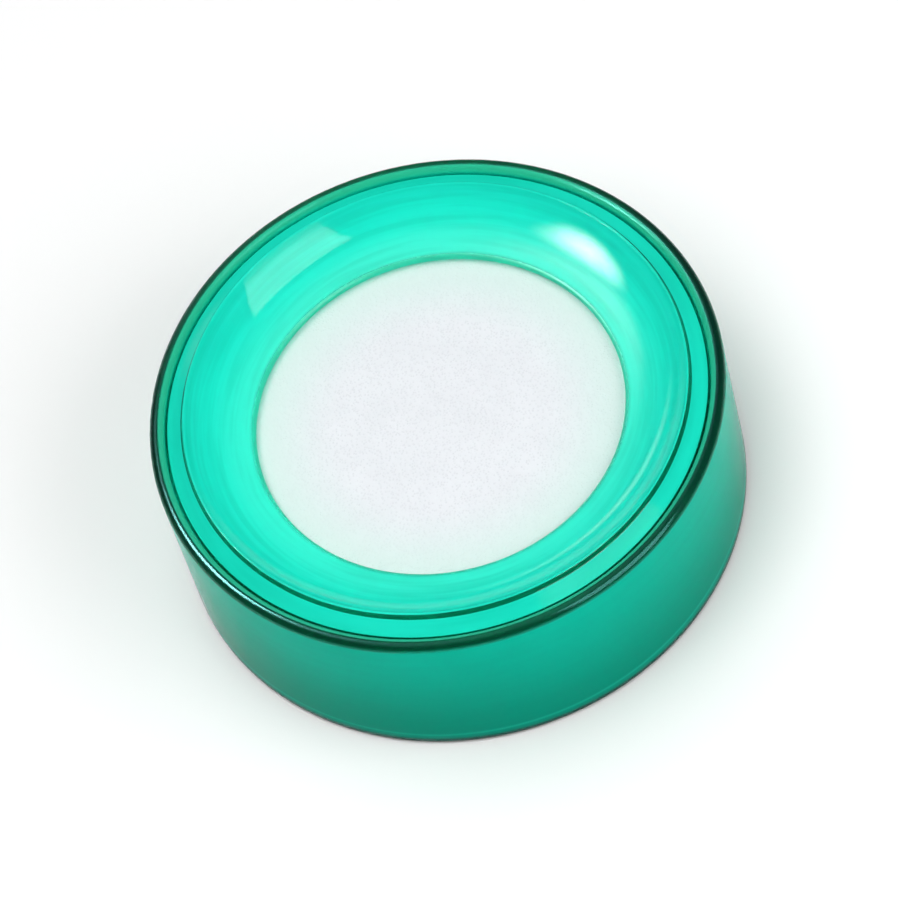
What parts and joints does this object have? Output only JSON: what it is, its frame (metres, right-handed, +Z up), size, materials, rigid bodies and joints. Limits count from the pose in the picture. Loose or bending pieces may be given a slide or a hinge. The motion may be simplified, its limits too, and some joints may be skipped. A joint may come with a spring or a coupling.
{
  "type": "finger moistener",
  "caption": "Round desk finger moistener: a clear green plastic cup with a drop-in funnel ring that frames a white sponge for wetting a fingertip.",
  "frame": {"origin": "on the table, under the middle of the cup's foot ring", "axes": "+Z up, along the axis that all three pieces are turned about; X and Y are equal by symmetry"},
  "size_m": [0.084, 0.084, 0.0281],
  "materials": {
    "cup_plastic": "gloss",
    "ring_plastic": "gloss",
    "sponge_foam": "matte"
  },
  "bodies": {
    "cup": {"base_cup": "cup_plastic"},
    "ring": {"funnel_ring": "ring_plastic"},
    "sponge": {"sponge": "sponge_foam"}
  },
  "joints": [
    {"name": "ring_lift", "type": "slide", "parent": "cup", "child": "ring", "axis": [0, 0, 1], "range_m": [0, 0.04]},
    {"name": "sponge_press", "type": "slide", "parent": "cup", "child": "sponge", "axis": [0, 0, -1], "range_m": [0, 0.0025], "stiffness_N_per_m": 800, "springref_m": -0.0005, "deforming": ["sponge"]}
  ]
}
